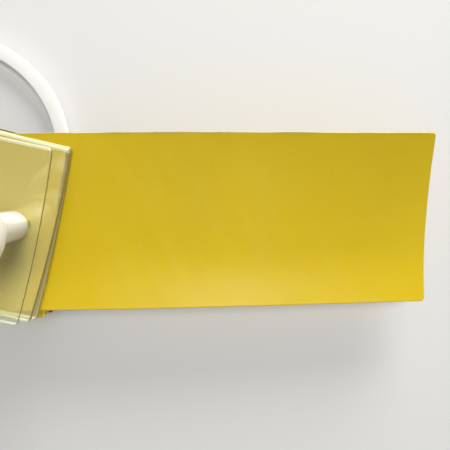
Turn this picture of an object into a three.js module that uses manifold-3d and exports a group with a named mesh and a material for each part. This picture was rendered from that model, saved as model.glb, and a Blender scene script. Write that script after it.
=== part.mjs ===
// A hand-size sample set of PVC welding-curtain material. Short strips are threaded on a white
// nylon binding post and swing about it, and one opaque yellow strip is swung out to +X.
//
// Millimetres, +Z up. The origin is on the post's axis, at the underside of its base flange.
// Each strip is a flat plate here, at its own level on the post, so that it can swing freely.

import * as THREE from 'three';
import Module from 'manifold-3d';
import { mergeVertices } from 'three/addons/utils/BufferGeometryUtils.js';

// ---- Driving dimensions ----------------------------------------------------------------------

// Strips: each is a short length cut off a standard strip-curtain roll.
const STRIP_LENGTH = 200;
const STRIP_WIDTH = 75;
const STRIP_THICKNESS = 2;
const STRIP_CORNER_RADIUS = 1.6;
const HOLE_CLEARANCE = 0.6; // all round the post's barrel
const THIN_CLEAR_THICKNESS = 1.5;
const THICK_CLEAR_THICKNESS = 3;

// Levels: the free gap under each kind of strip, in the order in which they are stacked.
const STRIP_GAP = 0.5;
const GAP_UNDER_YELLOW = 2;
const GAP_OVER_YELLOW = 2.2;

// Binding post: a base flange and a barrel in one, drilled from the top for the knob's stud.
const FLANGE_RIM = 9; // how far the flange stands out past the barrel
const FLANGE_THICKNESS = 2.5;
const FLANGE_CHAMFER = 0.6;
const BARREL_DIAMETER = 8;
const STUD_DIAMETER = 5;
const STUD_ENGAGEMENT = 18;
const STUD_CLEARANCE = 0.3;
const BORE_RELIEF = 3; // depth of the bore below the stud's tip

// Hang ring: a flat moulded ring with an eye that turns on the barrel.
const RING_MEAN_DIAMETER = 105;
const RING_BAND_WIDTH = 7;
const RING_THICKNESS = 3.5;
const RING_EYE_WALL = 4.15; // between the eye's bore and its outside
const RING_DIRECTION = 141.3; // degrees from +X, from the post to the ring's centre
const RING_CLEARANCE = 0.4;

// Hand knob: a plain sleeve and a collar that slide on the barrel, under a turned head.
const BORE_CLEARANCE = 0.35; // all round, between a bore and what runs in it
const PART_GAP = 0.35; // between pieces that bear on each other
const SLEEVE_WALL = 1.9;
const SLEEVE_LENGTH = 24;
const SLEEVE_ROUNDING = 1.5;
const COLLAR_WALL = 3.65;
const COLLAR_THICKNESS = 3.5;
const COLLAR_ROUNDING = 1.5;
const HEAD_DIAMETER = 27.5;
const HEAD_ROUNDING = 4;
const HEAD_NECK_DIAMETER = 13;
const HEAD_NECK_HEIGHT = 10;
const HEAD_FLOOR = 5.65; // solid plastic between the neck and the stud's head
const CAP_RIM = 1.15; // flat rim of the head round its cap
const CAP_THICKNESS = 2;
const CAP_DOME = 1.2;
const STUD_HEAD_DIAMETER = 9;
const STUD_HEAD_THICKNESS = 3;
const STUD_TIP_CHAMFER = 0.6;

// Each strip's direction is in degrees from +X, and its margin runs from its near end to the
// middle of its hole. Its offset is how far its centre line lies to the left of the hole, seen
// along its direction. The strips are punched by hand, so no two holes need be placed the same.
const YELLOW = { direction: 0, margin: 22, offset: 0 };
const CLEAR_MIDDLE = { direction: 166.3, margin: 16.2, offset: 0.5 };
const CLEAR_THICK = { direction: 164.7, margin: 15.6, offset: 0.8 };
const CLEAR_THIN = { direction: 166.8, margin: 10.4, offset: 2.7 };

// Lower strips, from the lowest up.
const LOWER_STRIPS = [
  { name: 'strip_dark_green', color: 0x16402a, direction: 165.5, margin: 17, offset: 0.5 },
  { name: 'strip_smoke_grey', color: 0x5c6165, direction: 164, margin: 16, offset: 0.8 },
  { name: 'strip_blue', color: 0x2e5f9a, direction: 165, margin: 17, offset: 0.4 },
  { name: 'strip_orange', color: 0xd0641a, direction: 164.5, margin: 16, offset: 0.9 },
  { name: 'strip_red', color: 0xa82a1c, direction: 164.5, margin: 17, offset: 0.6 },
  { name: 'strip_bronze', color: 0x3a2a12, direction: 164, margin: 20, offset: 0.3 },
  { name: 'strip_olive', color: 0x9a9a4a, direction: 163.5, margin: 18.7, offset: 1 },
  { name: 'strip_bright_yellow', color: 0xe0c80a, direction: 164, margin: 17.7, offset: 1.9 },
];

const ARC_SEGMENTS = 32; // round a turned piece
const HOLE_SEGMENTS = 24; // round a strip's hole
const CORNER_SEGMENTS = 2; // round a strip's corner

// ---- Levels worked out from the dimensions above ----------------------------------------------

const ringBottom = FLANGE_THICKNESS + RING_CLEARANCE;
const stackBottom = ringBottom + RING_THICKNESS + STRIP_GAP;
const lowerPitch = STRIP_THICKNESS + STRIP_GAP;
const lowerTop = stackBottom + LOWER_STRIPS.length * lowerPitch - STRIP_GAP;
const yellowBottom = lowerTop + GAP_UNDER_YELLOW;
const middleClearBottom = yellowBottom + STRIP_THICKNESS + GAP_OVER_YELLOW;
const thickClearBottom = middleClearBottom + STRIP_THICKNESS + STRIP_GAP;
const thinClearBottom = thickClearBottom + THICK_CLEAR_THICKNESS + STRIP_GAP;
const sleeveBottom = thinClearBottom + THIN_CLEAR_THICKNESS + PART_GAP;
const collarBottom = sleeveBottom + SLEEVE_LENGTH + PART_GAP;
const headBottom = collarBottom + COLLAR_THICKNESS + PART_GAP;
const barrelTop = headBottom - PART_GAP;
const studBottom = barrelTop - STUD_ENGAGEMENT;
const studHeadBottom = headBottom + HEAD_NECK_HEIGHT + HEAD_FLOOR + PART_GAP;
const studHeadTop = studHeadBottom + STUD_HEAD_THICKNESS;
const capBottom = studHeadTop + PART_GAP;
const headTop = capBottom + CAP_THICKNESS;
const capPocketRadius = HEAD_DIAMETER / 2 - HEAD_ROUNDING - CAP_RIM;

// ---- Solid helpers -----------------------------------------------------------------------------

const wasm = await Module();
wasm.setup();

function toSolid(geometry) {
  const shell = geometry.clone();
  shell.deleteAttribute('normal');
  shell.deleteAttribute('uv');
  const merged = mergeVertices(shell, 1e-4);
  return new wasm.Manifold(new wasm.Mesh({
    numProp: 3,
    vertProperties: new Float32Array(merged.attributes.position.array),
    triVerts: new Uint32Array(merged.index.array),
  }));
}

function toGeometry(solid) {
  const mesh = solid.getMesh();
  const geometry = new THREE.BufferGeometry();
  geometry.setAttribute('position', new THREE.BufferAttribute(mesh.vertProperties, 3));
  geometry.setIndex(new THREE.BufferAttribute(mesh.triVerts, 1));
  geometry.computeVertexNormals();
  return geometry;
}

// A profile of [radius, height] points turned about Z. It starts and ends on the axis, or closes.
function turned(profile) {
  const points = profile.map(([radius, height]) => new THREE.Vector2(radius, height));
  return new THREE.LatheGeometry(points, ARC_SEGMENTS).rotateX(Math.PI / 2);
}

// Points of an arc between two angles in degrees, about [radius, height].
function arc(centreRadius, centreHeight, rounding, from, to, steps = 4) {
  return Array.from({ length: steps + 1 }, (_, i) => {
    const angle = THREE.MathUtils.degToRad(from + (to - from) * (i / steps));
    return [centreRadius + rounding * Math.cos(angle), centreHeight + rounding * Math.sin(angle)];
  });
}

function extruded(shape, thickness, bottom, curveSegments) {
  const settings = { depth: thickness, bevelEnabled: false, curveSegments };
  return new THREE.ExtrudeGeometry(shape, settings).translate(0, 0, bottom);
}

// A round hole as a closed run of points, so that it can be finer than the outline round it.
function circleHole(diameter) {
  const circle = new THREE.Path().absarc(0, 0, diameter / 2, 0, 2 * Math.PI, true);
  return new THREE.Path(circle.getPoints(HOLE_SEGMENTS / 2));
}

function meshOf(name, geometry, color, finish = {}) {
  const material = new THREE.MeshStandardMaterial({ color, roughness: 0.3, metalness: 0, ...finish });
  const mesh = new THREE.Mesh(geometry, material);
  mesh.name = name;
  return mesh;
}

// ---- Strips ----------------------------------------------------------------------------------

// A rounded rectangle that runs from `margin` behind its hole to the far end, along its own +X,
// with its centre line at y = `offset`.
function stripOutline(margin, offset) {
  const radius = STRIP_CORNER_RADIUS;
  const left = -margin;
  const right = STRIP_LENGTH - margin;
  const low = offset - STRIP_WIDTH / 2;
  const high = offset + STRIP_WIDTH / 2;
  const outline = new THREE.Shape();
  outline.moveTo(left + radius, low);
  outline.absarc(right - radius, low + radius, radius, -Math.PI / 2, 0);
  outline.absarc(right - radius, high - radius, radius, 0, Math.PI / 2);
  outline.absarc(left + radius, high - radius, radius, Math.PI / 2, Math.PI);
  outline.absarc(left + radius, low + radius, radius, Math.PI, 1.5 * Math.PI);
  outline.holes.push(circleHole(BARREL_DIAMETER + 2 * HOLE_CLEARANCE));
  return outline;
}

function strip({ name, color, opacity = 1, place, bottom, thickness = STRIP_THICKNESS }) {
  const outline = stripOutline(place.margin, place.offset);
  const plate = extruded(outline, thickness, bottom, CORNER_SEGMENTS);
  const mesh = meshOf(name, plate, color, { transparent: opacity < 1, opacity });
  mesh.rotation.z = THREE.MathUtils.degToRad(place.direction);
  return mesh;
}

function lowerStrips() {
  return LOWER_STRIPS.map((entry, level) =>
    strip({ ...entry, place: entry, bottom: stackBottom + level * lowerPitch, opacity: 0.7 }));
}

function upperStrips() {
  const clear = { color: 0xe4e8dc, opacity: 0.35 };
  return [
    strip({ name: 'strip_yellow', color: 0xd8b81c, place: YELLOW, bottom: yellowBottom }),
    strip({
      name: 'strip_clear_middle', ...clear, place: CLEAR_MIDDLE, bottom: middleClearBottom,
    }),
    strip({
      name: 'strip_clear_thick', ...clear, place: CLEAR_THICK, bottom: thickClearBottom,
      thickness: THICK_CLEAR_THICKNESS,
    }),
    strip({
      name: 'strip_clear_thin', ...clear, place: CLEAR_THIN, bottom: thinClearBottom,
      thickness: THIN_CLEAR_THICKNESS,
    }),
  ];
}

// ---- Binding post and hang ring ----------------------------------------------------------------

function bindingPost() {
  const barrelRadius = BARREL_DIAMETER / 2;
  const flangeRadius = barrelRadius + FLANGE_RIM;
  const boreRadius = STUD_DIAMETER / 2 + STUD_CLEARANCE;
  const boreBottom = studBottom - BORE_RELIEF;
  const profile = [
    [0, 0],
    [flangeRadius - FLANGE_CHAMFER, 0],
    [flangeRadius, FLANGE_CHAMFER],
    [flangeRadius, FLANGE_THICKNESS - FLANGE_CHAMFER],
    [flangeRadius - FLANGE_CHAMFER, FLANGE_THICKNESS],
    [barrelRadius, FLANGE_THICKNESS],
    [barrelRadius, barrelTop],
    [boreRadius, barrelTop],
    [boreRadius, boreBottom],
    [0, boreBottom],
  ];
  return meshOf('binding_post', turned(profile), 0xe9e8e2);
}

// The ring's round band and its eye are joined into one flat moulding, then bored for the barrel.
function hangRing() {
  const reach = RING_MEAN_DIAMETER / 2;
  const band = new THREE.Shape().absarc(reach, 0, reach + RING_BAND_WIDTH / 2, 0, 2 * Math.PI);
  const inside = reach - RING_BAND_WIDTH / 2;
  band.holes.push(new THREE.Path().absarc(reach, 0, inside, 0, 2 * Math.PI, true));
  const boreRadius = BARREL_DIAMETER / 2 + BORE_CLEARANCE;
  const bore = new THREE.Shape().absarc(0, 0, boreRadius, 0, 2 * Math.PI);
  const eye = new THREE.Shape().absarc(0, 0, boreRadius + RING_EYE_WALL, 0, 2 * Math.PI);
  const [bandSolid, eyeSolid] = [band, eye].map((shape) =>
    toSolid(extruded(shape, RING_THICKNESS, ringBottom, ARC_SEGMENTS)));
  const boreSolid = toSolid(extruded(bore, RING_THICKNESS + 2, ringBottom - 1, ARC_SEGMENTS / 2));
  const mesh = meshOf('hang_ring', toGeometry(bandSolid.add(eyeSolid).subtract(boreSolid)), 0xe6e4da);
  mesh.rotation.z = THREE.MathUtils.degToRad(RING_DIRECTION);
  return mesh;
}

// ---- Hand knob ---------------------------------------------------------------------------------

// A ring on the barrel with its lower and upper outer edges rounded.
function roundedRing(name, wall, thickness, rounding, bottom) {
  const inner = BARREL_DIAMETER / 2 + BORE_CLEARANCE;
  const edge = inner + wall - rounding;
  const profile = [
    [inner, bottom],
    ...arc(edge, bottom + rounding, rounding, -90, 0),
    ...arc(edge, bottom + thickness - rounding, rounding, 0, 90),
    [inner, bottom + thickness],
    [inner, bottom],
  ];
  return meshOf(name, turned(profile), 0xf0efea);
}

function knobHead() {
  const radius = HEAD_DIAMETER / 2;
  const neck = HEAD_NECK_DIAMETER / 2;
  const shoulder = headBottom + HEAD_NECK_HEIGHT;
  const studHole = STUD_DIAMETER / 2 + STUD_CLEARANCE;
  const studPocket = STUD_HEAD_DIAMETER / 2 + STUD_CLEARANCE;
  const profile = [
    [studHole, headBottom],
    [neck, headBottom],
    [neck, shoulder],
    ...arc(radius - HEAD_ROUNDING, shoulder + HEAD_ROUNDING, HEAD_ROUNDING, -90, 0),
    ...arc(radius - HEAD_ROUNDING, headTop - HEAD_ROUNDING, HEAD_ROUNDING, 0, 90),
    [capPocketRadius, headTop],
    [capPocketRadius, studHeadTop],
    [studPocket, studHeadTop],
    [studPocket, studHeadBottom - PART_GAP],
    [studHole, studHeadBottom - PART_GAP],
    [studHole, headBottom],
  ];
  return meshOf('knob_head', turned(profile), 0xf3f2ee);
}

function knobStud() {
  const radius = STUD_DIAMETER / 2;
  const headRadius = STUD_HEAD_DIAMETER / 2;
  const profile = [
    [0, studBottom],
    [radius - STUD_TIP_CHAMFER, studBottom],
    [radius, studBottom + STUD_TIP_CHAMFER],
    [radius, studHeadBottom],
    [headRadius, studHeadBottom],
    [headRadius, studHeadTop],
    [0, studHeadTop],
  ];
  return meshOf('knob_stud', turned(profile), 0xb9bcc0, { metalness: 1 });
}

function knobCap() {
  const radius = capPocketRadius - BORE_CLEARANCE;
  const dome = [1, 2 / 3, 1 / 3, 0].map((share) =>
    [radius * share, headTop - CAP_DOME * share ** 2]);
  const profile = [[0, capBottom], [radius, capBottom], ...dome];
  return meshOf('knob_cap', turned(profile), 0xf3f2ee);
}

// ---- The assembled sample set ------------------------------------------------------------------

const group = new THREE.Group();
group.add(bindingPost(), hangRing());
group.add(...lowerStrips(), ...upperStrips());
group.add(
  roundedRing('spacer_sleeve', SLEEVE_WALL, SLEEVE_LENGTH, SLEEVE_ROUNDING, sleeveBottom),
  roundedRing('collar_ring', COLLAR_WALL, COLLAR_THICKNESS, COLLAR_ROUNDING, collarBottom),
  knobHead(),
  knobStud(),
  knobCap(),
);

export default group;
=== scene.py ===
"""The looks of a hand-size sample set of PVC welding-curtain strip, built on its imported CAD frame.

Metres, +Z up. Every strip is a curled, slightly drooping sheet of PVC in place of its flat CAD
plate; the white mouldings are smooth turned pieces in place of their faceted CAD nodes.
"""

import math

import bmesh
import bpy
import numpy as np
from mathutils import Matrix, Vector, noise


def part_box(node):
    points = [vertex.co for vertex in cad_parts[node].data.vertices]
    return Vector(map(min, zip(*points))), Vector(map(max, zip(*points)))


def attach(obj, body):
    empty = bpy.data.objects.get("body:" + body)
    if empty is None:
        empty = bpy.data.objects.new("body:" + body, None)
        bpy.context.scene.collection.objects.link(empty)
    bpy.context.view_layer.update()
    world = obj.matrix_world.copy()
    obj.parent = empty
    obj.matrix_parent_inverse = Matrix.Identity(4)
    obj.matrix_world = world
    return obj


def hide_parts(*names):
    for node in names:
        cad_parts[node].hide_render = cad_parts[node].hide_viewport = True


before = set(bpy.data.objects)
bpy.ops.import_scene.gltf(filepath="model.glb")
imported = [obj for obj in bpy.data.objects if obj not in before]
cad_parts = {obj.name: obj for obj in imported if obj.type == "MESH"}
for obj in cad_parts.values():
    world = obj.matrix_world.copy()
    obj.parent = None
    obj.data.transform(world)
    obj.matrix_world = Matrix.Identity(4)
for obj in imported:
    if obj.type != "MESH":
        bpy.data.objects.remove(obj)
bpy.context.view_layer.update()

# ---- Driving values (metres) -------------------------------------------------------------------

MM = 0.001
STRIP_LENGTH = 200 * MM
STRIP_WIDTH = 75 * MM
HALF_WIDTH = STRIP_WIDTH / 2
HOLE_RADIUS = 4.6 * MM
CORNER_RADIUS = 1.6 * MM
EDGE_ROUNDING = 0.3 * MM
CUT_STRAY = 0.16 * MM  # how far a hand-cut long edge strays from straight
RIM_WIDTH = 1.2 * MM  # of a clear sheet's surface along each long edge, made hazier there as a painted glow of its bright cut edge
END_RIM_WIDTH = 2.4 * MM  # the same at its near end, where the middle clear strip has a band of painted shade

REACH = 178 * MM  # from the post to the yellow strip's free end
DROOP = 5.5 * MM  # how far a strip hangs down at that distance
FLAT_REACH = 70 * MM  # as far from the post as this, the lower strips lie flat on the hang ring
LOWER_CURL = 1.6 * MM  # rise of the lower strips' long edges
CLEAR_CURL = 4.2 * MM  # the same on the clear strips
LOWER_AXIS = 163.5  # direction about which all the lower strips curl, degrees from +X
CLEAR_AXIS = 165.5  # the same for the clear strips
YELLOW_FAR_RISE = (5.5 * MM, 11.0 * MM)  # of its far long edge, by the post and at the free end
YELLOW_BUTT_DIP = 1.4 * MM  # how much less its far edge rises at the end beyond the post
YELLOW_NEAR_RISE = 2.0 * MM  # of its near long edge
YELLOW_RISE_START = 15 * MM  # from here on, the far edge's rise grows from the first to the second
YELLOW_BUTT = -22 * MM  # where its end beyond the post is
YELLOW_FLAT_SHARE = 0.15  # share of its width, from the near edge, before the far rise starts
YELLOW_NEAR_SHARE = 0.35  # share of its width that the near rise takes
YELLOW_FAR_CUT = (0.85 * MM, -0.5 * MM)  # how far outside its nominal far edge it is cut
YELLOW_NEAR_CUT = (0.5 * MM, 0.1 * MM)  # the same for its near edge
YELLOW_CUT_START = 50 * MM  # from here on, the cut goes from the first to the second

LOWER = {
    "strip_dark_green": ("tint_dark_green", (0.03, 0.16, 0.07)),
    "strip_smoke_grey": ("tint_smoke_grey", (0.22, 0.24, 0.26)),
    "strip_blue": ("tint_blue", (0.06, 0.22, 0.55)),
    "strip_orange": ("tint_orange", (0.85, 0.25, 0.03)),
    "strip_red": ("tint_red", (0.60, 0.05, 0.03)),
    "strip_bronze": ("tint_bronze", (0.20, 0.12, 0.03)),
    "strip_olive": ("tint_olive", (0.55, 0.55, 0.16)),
    "strip_bright_yellow": ("tint_bright_yellow", (0.90, 0.72, 0.01)),
}
CLEAR = ("strip_clear_middle", "strip_clear_thick", "strip_clear_thin")
CLEAR_SEED, YELLOW_SEED = 20, 40  # of how their cut edges stray

WHITE_SEGMENTS = 96
RING_SEGMENTS = 160
BARREL_RADIUS = 4 * MM
SLIDING_BORE = 4.35 * MM  # radius of what turns on the barrel
STUD_BORE = 2.8 * MM
FLANGE_THICKNESS = 2.5 * MM
BORE_RELIEF = 3 * MM  # depth of the barrel's bore below the stud's tip
RING_MEAN_RADIUS = 52.5 * MM
RING_BAND_WIDTH = 7 * MM
RING_EYE_RADIUS = 8.5 * MM
RING_EASE = 0.8 * MM
NECK_RADIUS = 6.5 * MM
NECK_HEIGHT = 10 * MM
HEAD_ROUNDING = 4 * MM
SCREW_POCKET = 5 * MM  # radius of the room for the stud's head
SCREW_HEAD = 3 * MM

FLOOR_HALF = 30.0
LIGHT_TARGET = (0.05, 0, 0.03)


# ---- Small tools -------------------------------------------------------------------------------

def smooth_step(low, high, value):
    share = min(1, max(0, (value - low) / (high - low)))
    return share * share * (3 - 2 * share)


def spread(low, high, step):
    """Evenly spaced values from low to high, about step apart, ends included."""
    return np.linspace(low, high, max(1, round((high - low) / step)) + 1)


def new_object(name, mesh, materials, body, replaces=()):
    for material in materials:
        mesh.materials.append(material)
    obj = bpy.data.objects.new(name, mesh)
    bpy.context.scene.collection.objects.link(obj)
    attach(obj, body)
    if replaces:
        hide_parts(*replaces)
    return obj


def mesh_from_bmesh(name, bm, sharp_angle=math.radians(42)):
    """A smooth-shaded mesh whose edges are sharp where its faces meet at more than sharp_angle."""
    bmesh.ops.recalc_face_normals(bm, faces=bm.faces)
    if bm.calc_volume(signed=True) < 0:
        bmesh.ops.reverse_faces(bm, faces=bm.faces)
    for face in bm.faces:
        face.smooth = True
    for edge in bm.edges:
        edge.smooth = len(edge.link_faces) != 2 or edge.calc_face_angle(0) < sharp_angle
    mesh = bpy.data.meshes.new(name)
    bm.to_mesh(mesh)
    bm.free()
    return mesh


# ---- Materials ---------------------------------------------------------------------------------

class Nodes:
    """A new material's node tree, with short calls to add nodes and link them."""

    def __init__(self, name):
        self.material = bpy.data.materials.new(name)
        self.material.use_nodes = True
        self.tree = self.material.node_tree
        self.shader = self.tree.nodes["Principled BSDF"]
        self.position = self.add("ShaderNodeTexCoord").outputs["Object"]

    def add(self, kind, settings=None, **inputs):
        node = self.tree.nodes.new(kind)
        for key, value in (settings or {}).items():
            setattr(node, key, value)
        for key, value in inputs.items():
            self.put(node.inputs[key.replace("_", " ")], value)
        return node

    def put(self, socket, value):
        if isinstance(value, bpy.types.NodeSocket):
            self.tree.links.new(value, socket)
        else:
            socket.default_value = value

    def set(self, **inputs):
        for key, value in inputs.items():
            self.put(self.shader.inputs[key.replace("_", " ")], value)

    def stretched(self, degrees, scale):
        """Position turned so that its X runs along a strip, then stretched."""
        turned = self.add("ShaderNodeVectorRotate", {"rotation_type": "Z_AXIS"},
                          Vector=self.position, Angle=math.radians(-degrees))
        return self.add("ShaderNodeMapping", Vector=turned.outputs[0], Scale=scale).outputs[0]

    def noise(self, vector, scale, detail=3.0, roughness=0.5):
        made = self.add("ShaderNodeTexNoise", Vector=vector, Scale=scale, Detail=detail,
                        Roughness=roughness)
        return made.outputs["Fac"]

    def ramp(self, factor, stops):
        node = self.add("ShaderNodeValToRGB", Fac=factor)
        elements = node.color_ramp.elements
        while len(elements) < len(stops):
            elements.new(0.5)
        for element, (place, colour) in zip(elements, stops):
            element.position = place
            element.color = (*colour, 1)
        return node.outputs["Color"]

    def remap(self, value, low, high, to_low=0.0, to_high=1.0):
        node = self.add("ShaderNodeMapRange", Value=value)
        for key, number in zip(("From Min", "From Max", "To Min", "To Max"),
                               (low, high, to_low, to_high)):
            node.inputs[key].default_value = number
        return node.outputs["Result"]

    def mix(self, factor, first, second):
        node = self.add("ShaderNodeMix", {"data_type": "RGBA"})
        for socket, value in zip((node.inputs[0], node.inputs[6], node.inputs[7]),
                                 (factor, first, second)):
            self.put(socket, value)
        return node.outputs[2]

    def bump(self, height, strength, distance, below=None):
        node = self.add("ShaderNodeBump", Height=height, Strength=strength, Distance=distance)
        if below is not None:
            self.put(node.inputs["Normal"], below)
        return node.outputs["Normal"]

    def distance_from_post(self):
        flat = self.add("ShaderNodeVectorMath", {"operation": "MULTIPLY"})
        self.put(flat.inputs[0], self.position)
        flat.inputs[1].default_value = (1, 1, 0)
        length = self.add("ShaderNodeVectorMath", {"operation": "LENGTH"})
        self.put(length.inputs[0], flat.outputs[0])
        return length.outputs["Value"]


def rgba(colour):
    return (*colour, 1.0)


def scaled(colour, factor):
    return tuple(min(1.0, channel * factor) for channel in colour)


def calendered_bump(made, direction, strength):
    """The sheet's surface: long soft waves, faint streaks along the roll and a fine orange peel."""
    waves = made.noise(made.stretched(direction, (1, 0.6, 1)), 28, 2)
    streaks = made.noise(made.stretched(direction, (1, 0.05, 1)), 900, 2)
    peel = made.noise(made.position, 1500, 2)
    normal = made.bump(waves, strength, 0.0012)
    normal = made.bump(streaks, 0.5 * strength, 0.00003, normal)
    return made.bump(peel, strength, 0.00002, normal)


def yellow_pvc(direction):
    """Opaque satin yellow, a little darker and redder in soft clouds, with handling scuffs."""
    made = Nodes("pvc_yellow")
    clouds = made.noise(made.position, 18, 3)
    base = made.ramp(clouds, [(0.3, (0.610, 0.432, 0.006)), (0.7, (0.650, 0.466, 0.008))])
    stress = made.remap(made.distance_from_post(), 0.0048, 0.0075, 0.55, 0.0)
    base = made.mix(stress, base, rgba((0.80, 0.62, 0.16)))
    specks = made.noise(made.position, 2600, 1)
    base = made.mix(made.remap(specks, 0.62, 0.75, 0, 0.25), base, rgba((0.52, 0.33, 0.01)))
    scuffs = made.noise(made.stretched(direction + 24, (1, 0.08, 1)), 160, 4, 0.7)
    smears = made.noise(made.position, 45, 4, 0.6)
    rough = made.add("ShaderNodeMath", {"operation": "ADD"})
    made.put(rough.inputs[0], made.remap(scuffs, 0.45, 0.8, 0.30, 0.46))
    made.put(rough.inputs[1], made.remap(smears, 0.3, 0.7, -0.04, 0.05))
    made.set(Base_Color=base, Roughness=rough.outputs[0], IOR=1.54, Specular_IOR_Level=0.3,
             Normal=calendered_bump(made, direction, 0.35))
    made.set(Subsurface_Weight=0.08, Subsurface_Radius=(0.9, 0.6, 0.15), Subsurface_Scale=0.0012)
    return made.material


def yellow_cut_edge():
    """Sawn PVC: paler, matt and fibrous."""
    made = Nodes("pvc_yellow_cut_edge")
    grain = made.noise(made.position, 1800, 4, 0.7)
    made.set(Base_Color=made.ramp(grain, [(0.35, (0.55, 0.38, 0.06)), (0.65, (0.76, 0.66, 0.36))]),
             Roughness=0.6, Normal=made.bump(grain, 0.6, 0.0001))
    return made.material


def pale_burr():
    made = Nodes("pvc_burr")
    grain = made.noise(made.position, 2200, 3, 0.7)
    made.set(Base_Color=made.ramp(grain, [(0.3, (0.60, 0.52, 0.30)), (0.7, (0.80, 0.76, 0.62))]),
             Roughness=0.65)
    return made.material


def see_through(made, haze, passed):
    """Makes the shader clear PVC but for its haze, the share of light that it scatters.

    Rays from lamps and from matt surfaces go straight through and take the colour passed.
    """
    made.set(Transmission_Weight=1.0 - haze, IOR=1.53)
    rays = made.add("ShaderNodeLightPath").outputs
    either = made.add("ShaderNodeMath", {"operation": "MAXIMUM"})
    made.put(either.inputs[0], rays["Is Shadow Ray"])
    made.put(either.inputs[1], rays["Is Diffuse Ray"])
    straight = made.add("ShaderNodeBsdfTransparent", Color=rgba(passed))
    mix = made.add("ShaderNodeMixShader")
    for socket, value in zip(mix.inputs, (either.outputs[0], made.shader.outputs[0],
                                          straight.outputs[0])):
        made.put(socket, value)
    made.put(made.tree.nodes["Material Output"].inputs["Surface"], mix.outputs[0])
    return made.material


def clear_pvc(name, direction, haze):
    """Glossy clear PVC with a faint green-grey tint and a few long fine scratches."""
    made = Nodes(name)
    clouds = made.noise(made.position, 16, 3)
    scratches = made.noise(made.stretched(direction - 20, (1, 0.03, 1)), 420, 3, 0.6)
    smears = made.noise(made.stretched(direction + 35, (1, 0.35, 1)), 60, 4, 0.65)
    rough = made.add("ShaderNodeMath", {"operation": "ADD"})
    made.put(rough.inputs[0], made.remap(smears, 0.4, 0.75, 0.02, 0.09))
    made.put(rough.inputs[1], made.remap(scratches, 0.6, 0.8, 0.0, 0.12))
    made.set(Base_Color=made.ramp(clouds, [(0.3, (0.96, 0.96, 0.75)), (0.7, (0.985, 0.985, 0.81))]),
             Roughness=rough.outputs[0], Normal=calendered_bump(made, direction, 0.3))
    return see_through(made, haze, (0.99, 0.99, 0.945))


def tinted_pvc(name, colour, direction):
    """Glossy tinted PVC: deep, even colour that a little light passes."""
    made = Nodes(name)
    clouds = made.noise(made.position, 14, 3)
    tint = made.ramp(clouds, [(0.3, scaled(colour, 0.9)), (0.7, scaled(colour, 1.05))])
    stress = made.remap(made.distance_from_post(), 0.0048, 0.0070, 0.5, 0.0)
    tint = made.mix(stress, tint, rgba(scaled(colour, 1.5)))
    smears = made.noise(made.stretched(direction + 35, (1, 0.35, 1)), 60, 4, 0.65)
    made.set(Base_Color=tint, Roughness=made.remap(smears, 0.4, 0.75, 0.03, 0.12),
             Normal=calendered_bump(made, direction, 0.3))
    return see_through(made, 0.4, tuple(0.95 * math.sqrt(channel) for channel in colour))


def cut_edge(name, colour, haze, passing=0.9):
    """The same sheet where it is cut: satin, its colour a painted glow where brighter than the sheet
    and painted shade where darker.
    """
    made = Nodes(name)
    grain = made.noise(made.position, 1600, 4, 0.7)
    body = made.ramp(grain, [(0.3, scaled(colour, 0.9)), (0.7, scaled(colour, 1.1))])
    made.set(Base_Color=body, Roughness=0.3, Normal=made.bump(grain, 0.4, 0.00006))
    return see_through(made, haze, tuple(passing * math.sqrt(channel) for channel in colour))


def white_nylon():
    """Glossy injection-moulded nylon, faintly warm, with a very fine mould texture."""
    made = Nodes("white_nylon")
    clouds = made.noise(made.position, 60, 3)
    base = made.ramp(clouds, [(0.3, (0.87, 0.87, 0.845)), (0.7, (0.91, 0.91, 0.89))])
    texture = made.noise(made.position, 2400, 2)
    smears = made.noise(made.position, 150, 4, 0.6)
    made.set(Base_Color=base, Roughness=made.remap(smears, 0.35, 0.75, 0.16, 0.30), IOR=1.53,
             Normal=made.bump(texture, 0.15, 0.00003))
    made.set(Subsurface_Weight=0.25, Subsurface_Radius=(1.0, 0.95, 0.8), Subsurface_Scale=0.0015)
    return made.material


def zinc_steel():
    made = Nodes("zinc_steel")
    turning = made.noise(made.stretched(0, (1, 1, 40)), 90, 3)
    made.set(Base_Color=made.ramp(turning, [(0.3, (0.50, 0.51, 0.53)), (0.7, (0.66, 0.67, 0.68))]),
             Metallic=1.0, Roughness=made.remap(turning, 0.3, 0.7, 0.24, 0.38),
             Normal=made.bump(turning, 0.3, 0.00004))
    return made.material


# ---- Strips ----------------------------------------------------------------------------------

class Place:
    """Where a CAD strip lies: read from its box, which its rounded corners just touch."""

    def __init__(self, node):
        low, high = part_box(node)
        middle = (low + high) / 2
        along, across = STRIP_LENGTH - 2 * CORNER_RADIUS, STRIP_WIDTH - 2 * CORNER_RADIUS
        depth = high.y - low.y - 2 * CORNER_RADIUS
        tilt = math.asin(depth / math.hypot(along, across)) - math.atan2(across, along)
        turn = tilt if middle.x > 0 else math.pi - tilt
        self.node = node
        self.direction = math.degrees(turn)
        margin = STRIP_LENGTH / 2 - middle.x * math.cos(turn) - middle.y * math.sin(turn)
        self.left, self.right = -margin, STRIP_LENGTH - margin
        self.offset = middle.y * math.cos(turn) - middle.x * math.sin(turn)
        self.low, self.high = self.offset - HALF_WIDTH, self.offset + HALF_WIDTH
        self.level, self.thickness = low.z, high.z - low.z

    def turned(self):
        return Matrix.Rotation(math.radians(self.direction), 4, "Z")


def grid_lines(low, high, patch, step=2.5 * MM):
    """Grid lines from low to high: fine by both ends, and evenly spaced over the hole's patch."""
    end = [0, 0.35 * CORNER_RADIUS, 0.7 * CORNER_RADIUS]
    return np.concatenate([
        low + np.array(end),
        spread(low + CORNER_RADIUS, -patch, step)[:-1],
        spread(-patch, patch, patch / 6),
        spread(patch, high - CORNER_RADIUS, step)[1:],
        high - np.array(end[::-1]),
    ])


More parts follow.
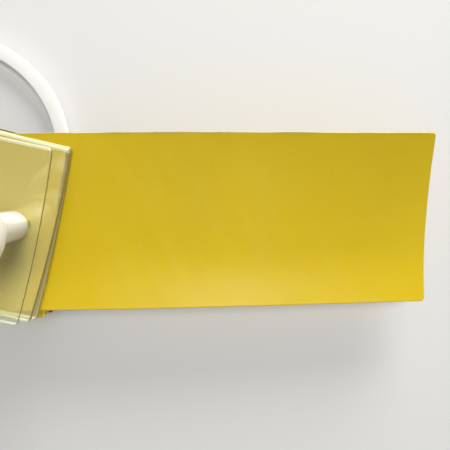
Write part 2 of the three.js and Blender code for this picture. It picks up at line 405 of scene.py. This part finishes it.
def round_corner(x, y, place):
    """Moves a point in a square corner of the outline to its place in the rounded corner."""
    side_x, side_y = (1 if x > 0 else -1), (1 if y > 0 else -1)
    centre_x = (place.right if side_x > 0 else place.left) - side_x * CORNER_RADIUS
    centre_y = (place.high if side_y > 0 else place.low) - side_y * CORNER_RADIUS
    u, v = (x - centre_x) / CORNER_RADIUS, (y - centre_y) / CORNER_RADIUS
    if u * side_x <= 0 or v * side_y <= 0:
        return x, y
    return (centre_x + CORNER_RADIUS * u * math.sqrt(1 - v * v / 2),
            centre_y + CORNER_RADIUS * v * math.sqrt(1 - u * u / 2))


def strip_plan(place):
    """A strip's flat outline as a bmesh of quads at height 0, with a round hole on its origin."""
    patch = min(9 * MM, -place.left - CORNER_RADIUS - 1 * MM)
    xs = grid_lines(place.left, place.right, patch)
    ys = grid_lines(place.low, place.high, patch)
    bm = bmesh.new()
    inside = patch - 0.01 * MM
    grid = {
        (i, j): bm.verts.new((*round_corner(x, y, place), 0))
        for i, x in enumerate(xs) for j, y in enumerate(ys)
        if abs(x) > inside or abs(y) > inside
    }
    in_patch = {
        (i, j) for i in range(len(xs)) for j in range(len(ys))
        if abs(xs[i]) <= patch + 0.01 * MM and abs(ys[j]) <= patch + 0.01 * MM
    }
    for i in range(len(xs) - 1):
        for j in range(len(ys) - 1):
            corners = [(i, j), (i + 1, j), (i + 1, j + 1), (i, j + 1)]
            if not all(corner in in_patch for corner in corners):
                bm.faces.new([grid[corner] for corner in corners])
    rim = sorted((grid[key] for key in in_patch if key in grid),
                 key=lambda vert: math.atan2(vert.co.y, vert.co.x))
    rings = [rim]
    for share in (0.35, 0.65, 0.85, 1.0):
        rings.append([
            bm.verts.new(vert.co.lerp(vert.co.normalized() * HOLE_RADIUS, share)) for vert in rim
        ])
    for outer, inner in zip(rings, rings[1:]):
        for k in range(len(rim)):
            after = (k + 1) % len(rim)
            bm.faces.new((outer[k], outer[after], inner[after], inner[k]))
    return bm


def thicken(bm, thickness):
    """Turns a flat plan into a closed sheet of that thickness with rounded rims."""
    bmesh.ops.recalc_face_normals(bm, faces=bm.faces)
    top = {vert: bm.verts.new(vert.co + Vector((0, 0, thickness))) for vert in list(bm.verts)}
    border = [edge for edge in bm.edges if len(edge.link_faces) == 1]
    for face in list(bm.faces):
        bm.faces.new([top[vert] for vert in face.verts])
    for edge in border:
        a, b = edge.verts
        bm.faces.new((a, b, top[b], top[a]))
    bmesh.ops.recalc_face_normals(bm, faces=bm.faces)
    rims = [edge for edge in bm.edges if edge.calc_face_angle(0) > math.radians(80)
            and abs(edge.verts[0].co.z - edge.verts[1].co.z) < 1e-6]
    bmesh.ops.bevel(bm, geom=rims, offset=EDGE_ROUNDING, segments=2, profile=0.5,
                    affect="EDGES", clamp_overlap=True)


def droop(x, y, held=0.0):
    """How far a sheet hangs down, which is none within the distance held from the post."""
    return -DROOP * (max(0, math.hypot(x, y) - held) / (REACH - held)) ** 2


def nested_curl(rise, offset_degrees, held=0.0):
    """Height of a sheet curled about a direction that is offset_degrees from its own."""
    turn = math.radians(offset_degrees)

    def height(x, y):
        across = y * math.cos(turn) - x * math.sin(turn)
        return rise * (across / HALF_WIDTH) ** 2 + droop(x, y, held)

    return height


def yellow_curl(x, y):
    """The yellow strip lies flat along its near edge and curls up towards its far one."""
    share = (y + HALF_WIDTH) / STRIP_WIDTH
    outward = smooth_step(YELLOW_RISE_START, REACH, x)
    far_rise = YELLOW_FAR_RISE[0] + (YELLOW_FAR_RISE[1] - YELLOW_FAR_RISE[0]) * outward
    far_rise -= YELLOW_BUTT_DIP * smooth_step(YELLOW_RISE_START, YELLOW_BUTT, x)
    far = max(0, share - YELLOW_FLAT_SHARE) / (1 - YELLOW_FLAT_SHARE)
    near = max(0, YELLOW_NEAR_SHARE - share) / YELLOW_NEAR_SHARE
    return far_rise * far ** 2 + YELLOW_NEAR_RISE * near ** 2 + droop(x, y)


def yellow_cut(x, y):
    """How far a point moves across the yellow strip because its edges are cut unevenly."""
    first, last = YELLOW_FAR_CUT if y > 0 else YELLOW_NEAR_CUT
    return (first + (last - first) * smooth_step(YELLOW_CUT_START, REACH, x)) * y / HALF_WIDTH


def even_cut(x, y):
    return 0.0


def cut_wobble(x, side, seed):
    """How far a hand-cut long edge strays at x."""
    return side * CUT_STRAY * noise.noise(Vector((x * 90, side * 3.0, seed)))


def edge_kind(face, place):
    """A face's material: 0 on the sheet and in its hole, 1 on its long cut edges, 2 on its ends,
    3 on the sheet along its long edges, and 4 on the sheet along its near end."""
    middle = face.calc_center_median()
    to_side = min(middle.y - place.low, place.high - middle.y)
    to_end = min(middle.x - place.left, place.right - middle.x)
    if abs(face.normal.z) > 0.9:
        if to_side < RIM_WIDTH:
            return 3
        return 4 if middle.x - place.left < END_RIM_WIDTH else 0
    if math.hypot(middle.x, middle.y) < HOLE_RADIUS + EDGE_ROUNDING:
        return 0
    return 2 if to_end < CORNER_RADIUS * 0.6 else 1


def lean(height, x, y, step=0.1 * MM):
    """The sheet's slope along x and y."""
    return ((height(x + step, y) - height(x - step, y)) / (2 * step),
            (height(x, y + step) - height(x, y - step)) / (2 * step))


def build_strip(place, height, materials, seed, kept=0.0, cut=even_cut):
    """One strip, as thick across its curl as it is when flat. materials is as in edge_kind.

    kept is the share of the thickness, from below, at which the curled sheet keeps its plan, and
    cut is how far each point moves across because the strip is cut unevenly.
    """
    bm = strip_plan(place)
    thicken(bm, place.thickness)
    bm.normal_update()
    for face in bm.faces:
        face.material_index = edge_kind(face, place)
    for vert in bm.verts:
        x, y, up = vert.co
        slope_x, slope_y = lean(height, x, y)
        over = up - kept * place.thickness
        across = y - over * slope_y + cut(x, y)
        vert.co = (x - over * slope_x, across, place.level + up + height(x, y))
        if min(y - place.low, place.high - y) < 0.5 * MM:
            vert.co.y += cut_wobble(x, math.copysign(1, y), seed)
    bm.transform(place.turned())
    name = place.node + "_pvc"
    new_object(name, mesh_from_bmesh(name, bm), materials, place.node, (place.node,))


def build_burr(place, height, side, material, seed, tallest=0.45 * MM):
    """A ragged sliver of cut PVC that stands along the upper rim of the yellow strip's edge."""
    bm = bmesh.new()
    stations = []
    edge = place.high if side > 0 else place.low
    clear_of_ends, inset, half_root, root_depth = 3 * MM, 0.12 * MM, 0.14 * MM, 0.16 * MM
    for x in spread(place.left + clear_of_ends, place.right - clear_of_ends, 0.7 * MM):
        y = edge - side * inset + cut_wobble(x, side, seed) + yellow_cut(x, edge)
        ragged = 0.5 + 0.5 * noise.noise(Vector((x * 700, seed, 0)))
        patchy = smooth_step(-0.25, 0.35, noise.noise(Vector((x * 55, seed, 5))))
        tall = tallest * (0.12 + 0.88 * ragged * patchy)
        base = place.level + place.thickness + height(x, edge)
        stations.append([
            bm.verts.new((x, y - half_root, base - root_depth)),
            bm.verts.new((x, y + half_root, base - root_depth)),
            bm.verts.new((x, y + side * 0.35 * tall, base + tall)),
        ])
    for one, two in zip(stations, stations[1:]):
        for k in range(3):
            bm.faces.new((one[k], one[(k + 1) % 3], two[(k + 1) % 3], two[k]))
    bm.faces.new(stations[0])
    bm.faces.new(stations[-1][::-1])
    bm.transform(place.turned())
    name = place.node + "_burr"
    mesh = mesh_from_bmesh(name, bm, math.radians(60))
    new_object(name, mesh, [material], place.node)


def build_strips():
    for seed, (node, (slot, colour)) in enumerate(LOWER.items()):
        place = Place(node)
        face = tinted_pvc(slot, colour, place.direction)
        # The tinted strips' cut edges are brighter than their sheets: a painted glow of the light
        # they gather.
        edge = cut_edge(slot + "_edge", scaled(colour, 1.15), 0.9)
        height = nested_curl(LOWER_CURL, LOWER_AXIS - place.direction, FLAT_REACH)
        build_strip(place, height, [face, edge, edge, face, face], seed)
    # Painted glow: the clear strips' long cut edges are a pale cream colour for the light they carry
    # to the edge.
    side = cut_edge("pvc_clear_side_painted_glow", (0.97, 0.92, 0.52), 0.85)
    # Painted shade and a painted dark reflection: the clear strips' ends are dark olive-grey, and
    # they pass little lamp light.
    end = cut_edge("pvc_clear_end_painted_shade", (0.37, 0.32, 0.13), 0.92, 0.25)
    # Painted shade: a dark olive-grey band along the middle clear strip's near end, where the thick
    # strip's end shades it.
    painted_shade_rim = cut_edge("pvc_clear_painted_shade_rim", (0.36, 0.30, 0.11), 0.8)
    for seed, node in enumerate(CLEAR, start=CLEAR_SEED):
        place = Place(node)
        face = clear_pvc(node + "_face", place.direction, 0.04)
        # Painted glow: a hazier band along each long edge stands in for the bright cut edge seen
        # through the sheet.
        rim = clear_pvc(node + "_rim", place.direction, 0.45)
        height = nested_curl(CLEAR_CURL, CLEAR_AXIS - place.direction)
        # Only the middle clear strip gets the painted shade band at its near end.
        end_rim = painted_shade_rim if node == "strip_clear_middle" else face
        build_strip(place, height, [face, side, end, rim, end_rim], seed)
    place = Place("strip_yellow")
    face, edge = yellow_pvc(place.direction), yellow_cut_edge()
    materials = [face, edge, face, face, face]
    build_strip(place, yellow_curl, materials, YELLOW_SEED, 1.0, yellow_cut)
    build_burr(place, yellow_curl, 1, pale_burr(), YELLOW_SEED)


# ---- White mouldings ---------------------------------------------------------------------------

def rounded_profile(corners, steps=6):
    """Points of a closed profile from corners (radius, height, rounding)."""
    points = []
    count = len(corners)
    for k, (r, z, rounding) in enumerate(corners):
        here = Vector((r, z))
        to_before = (Vector(corners[k - 1][:2]) - here).normalized()
        to_after = (Vector(corners[(k + 1) % count][:2]) - here).normalized()
        if rounding <= 0:
            points.append(here)
            continue
        half = to_before.angle(to_after) / 2
        tangent = rounding / math.tan(half)
        centre = here + (to_before + to_after).normalized() * (rounding / math.sin(half))
        start, end = here + to_before * tangent - centre, here + to_after * tangent - centre
        sweep = start.angle_signed(end)
        for step in range(steps + 1):
            points.append(centre + Matrix.Rotation(-sweep * step / steps, 2) @ start)
    return points


def lathe(corners, segments=WHITE_SEGMENTS, centre=(0, 0), steps=6):
    """A bmesh turned about a vertical axis at centre from a closed profile of rounded corners."""
    profile = rounded_profile(corners, steps)
    bm = bmesh.new()
    rings = []
    for k in range(segments):
        angle = 2 * math.pi * k / segments
        turn = Vector((math.cos(angle), math.sin(angle)))
        rings.append([
            bm.verts.new((centre[0] + p.x * turn.x, centre[1] + p.x * turn.y, p.y)) for p in profile
        ])
    for k in range(segments):
        one, two = rings[k], rings[(k + 1) % segments]
        for p in range(len(profile)):
            q = (p + 1) % len(profile)
            bm.faces.new((one[p], two[p], two[q], one[q]))
    bmesh.ops.remove_doubles(bm, verts=bm.verts, dist=1e-7)
    bmesh.ops.dissolve_degenerate(bm, edges=bm.edges, dist=1e-7)
    bare_edges = [edge for edge in bm.edges if not edge.link_faces]
    bmesh.ops.delete(bm, geom=bare_edges, context="EDGES")
    return bm


def combine(name, first, *steps):
    """One mesh from a bmesh and steps (boolean operation, bmesh), taken in turn."""
    objects = []
    for part in (first, *(part for operation, part in steps)):
        obj = bpy.data.objects.new(name, mesh_from_bmesh(name, part))
        bpy.context.scene.collection.objects.link(obj)
        objects.append(obj)
    for (operation, part), tool in zip(steps, objects[1:]):
        modifier = objects[0].modifiers.new(operation, "BOOLEAN")
        modifier.operation, modifier.solver, modifier.object = operation, "EXACT", tool
    depsgraph = bpy.context.evaluated_depsgraph_get()
    mesh = bpy.data.meshes.new_from_object(objects[0].evaluated_get(depsgraph))
    for obj in objects:
        bpy.data.objects.remove(obj)
    return mesh


def build_post(material):
    """Base flange and barrel, with the flange's edges eased and the bore open at the top."""
    low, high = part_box("binding_post")
    bore_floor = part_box("knob_stud")[0].z - BORE_RELIEF
    corners = [
        (0, 0, 0), (high.x, 0, 0.7 * MM), (high.x, FLANGE_THICKNESS, 0.9 * MM),
        (BARREL_RADIUS, FLANGE_THICKNESS, 0.3 * MM), (BARREL_RADIUS, high.z, 0.4 * MM),
        (STUD_BORE, high.z, 0.2 * MM), (STUD_BORE, bore_floor, 0.5 * MM), (0, bore_floor, 0),
    ]
    mesh = mesh_from_bmesh("post_moulding", lathe(corners))
    new_object("post_moulding", mesh, [material], "post", ("binding_post",))


def build_ring(material):
    """Flat hang ring: a band with eased edges, joined to an eye that is bored for the barrel."""
    low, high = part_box("hang_ring")
    middle = (low + high) / 2
    outer = RING_MEAN_RADIUS + RING_BAND_WIDTH / 2
    inner = RING_MEAN_RADIUS - RING_BAND_WIDTH / 2
    centre = Vector((middle.x, middle.y, 0)).normalized() * RING_MEAN_RADIUS
    bottom, top, ease = low.z, high.z, RING_EASE
    band = lathe([
        (inner, bottom, ease), (outer, bottom, ease), (outer, top, ease), (inner, top, ease),
    ], RING_SEGMENTS, (centre.x, centre.y), 4)
    eye = lathe([
        (0, bottom, 0), (RING_EYE_RADIUS, bottom, ease), (RING_EYE_RADIUS, top, ease), (0, top, 0),
    ], WHITE_SEGMENTS, (0, 0), 4)
    below, above = bottom - 1 * MM, top + 1 * MM
    hole = lathe([
        (0, below, 0), (SLIDING_BORE, below, 0), (SLIDING_BORE, above, 0), (0, above, 0),
    ])
    mesh = combine("hang_ring_moulding", band, ("UNION", eye), ("DIFFERENCE", hole))
    new_object("hang_ring_moulding", mesh, [material], "ring", ("hang_ring",))


def build_turned(name, node, body, corners, material):
    mesh = mesh_from_bmesh(name, lathe(corners))
    new_object(name, mesh, [material], body, (node,))


def build_knob(material):
    """Sleeve, collar, head and cap, each a smooth turned piece over the barrel."""
    bore = SLIDING_BORE
    low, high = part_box("spacer_sleeve")
    build_turned("sleeve_moulding", "spacer_sleeve", "sleeve", [
        (bore, low.z, 0.2 * MM), (high.x, low.z, 1.3 * MM),
        (high.x, high.z, 1.0 * MM), (bore, high.z, 0.2 * MM),
    ], material)
    low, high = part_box("collar_ring")
    build_turned("collar_moulding", "collar_ring", "collar", [
        (bore, low.z, 0.2 * MM), (high.x, low.z, 1.4 * MM),
        (high.x, high.z, 1.4 * MM), (bore, high.z, 0.2 * MM),
    ], material)
    low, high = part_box("knob_head")
    shoulder = low.z + NECK_HEIGHT
    cap_low, cap_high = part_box("knob_cap")
    gap = 0.05 * MM
    pocket, cap_seat = cap_high.x + 0.3 * MM, cap_low.z - gap
    screw_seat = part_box("knob_stud")[1].z - SCREW_HEAD - gap
    build_turned("head_moulding", "knob_head", "knob", [
        (STUD_BORE, low.z, 0.2 * MM), (NECK_RADIUS, low.z, 0.5 * MM),
        (NECK_RADIUS, shoulder, 0.6 * MM), (high.x, shoulder, HEAD_ROUNDING),
        (high.x, high.z, HEAD_ROUNDING), (pocket, high.z, 0.3 * MM),
        (pocket, cap_seat, 0.1 * MM), (SCREW_POCKET, cap_seat, 0.1 * MM),
        (SCREW_POCKET, screw_seat, 0.1 * MM), (STUD_BORE, screw_seat, 0.1 * MM),
    ], material)
    cap = cap_high.x
    build_turned("cap_moulding", "knob_cap", "knob", [
        (0, cap_low.z, 0), (cap, cap_low.z, 0.15 * MM), (cap, cap_high.z - 1.0 * MM, 0.4 * MM),
        (cap * 0.6, cap_high.z - 0.15 * MM, 3 * MM), (0.9 * MM, cap_high.z - 0.05 * MM, 0.1 * MM),
        (0.8 * MM, cap_high.z - 0.45 * MM, 0.1 * MM), (0, cap_high.z - 0.45 * MM, 0),
    ], material)


# ---- Floor, light and camera -------------------------------------------------------------------

def build_floor():
    mesh = bpy.data.meshes.new("floor")
    half = FLOOR_HALF
    mesh.from_pydata([(-half, -half, 0), (half, -half, 0), (half, half, 0), (-half, half, 0)], [],
                     [(0, 1, 2, 3)])
    made = Nodes("pale_floor")
    made.set(Base_Color=rgba((0.72, 0.72, 0.71)), Roughness=0.85)
    mesh.materials.append(made.material)
    floor = bpy.data.objects.new("floor", mesh)
    bpy.context.scene.collection.objects.link(floor)


def area_light(name, place, size, watts, colour):
    light = bpy.data.lights.new(name, "AREA")
    light.shape, light.size, light.energy, light.color = "DISK", size, watts, colour
    obj = bpy.data.objects.new(name, light)
    bpy.context.scene.collection.objects.link(obj)
    obj.location = place
    aim = Vector(LIGHT_TARGET) - Vector(place)
    obj.rotation_euler = aim.to_track_quat("-Z", "Y").to_euler()


def build_light():
    area_light("key", (0.18, 0.20, 1.0), 0.30, 5.0, (1, 0.985, 0.95))
    area_light("low", (0.45, 1.25, 0.55), 0.8, 20, (1, 0.99, 0.97))
    area_light("fill", (0.65, -0.75, 0.9), 1.2, 0.5, (0.95, 0.97, 1))
    world = bpy.data.worlds.new("studio")
    world.use_nodes = True
    background = world.node_tree.nodes["Background"]
    background.inputs["Color"].default_value = (1, 1, 1, 1)
    background.inputs["Strength"].default_value = 0.26
    bpy.context.scene.world = world


def build_camera():
    camera = bpy.data.cameras.new("camera")
    camera.sensor_width = 36
    camera.lens = 40.8
    camera.clip_start = 0.01
    obj = bpy.data.objects.new("camera", camera)
    obj.location = (0.0838, 0.0162, 0.2527)
    obj.rotation_euler = [math.radians(angle) for angle in (-4.56, -1.09, -0.63)]
    bpy.context.scene.collection.objects.link(obj)
    bpy.context.scene.camera = obj


build_camera()
build_floor()
build_light()
build_strips()
nylon = white_nylon()
build_post(nylon)
build_ring(nylon)
build_knob(nylon)
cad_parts["knob_stud"].data.materials.clear()
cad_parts["knob_stud"].data.materials.append(zinc_steel())
bpy.context.scene.view_settings.view_transform = "Standard"

bpy.context.view_layer.update()
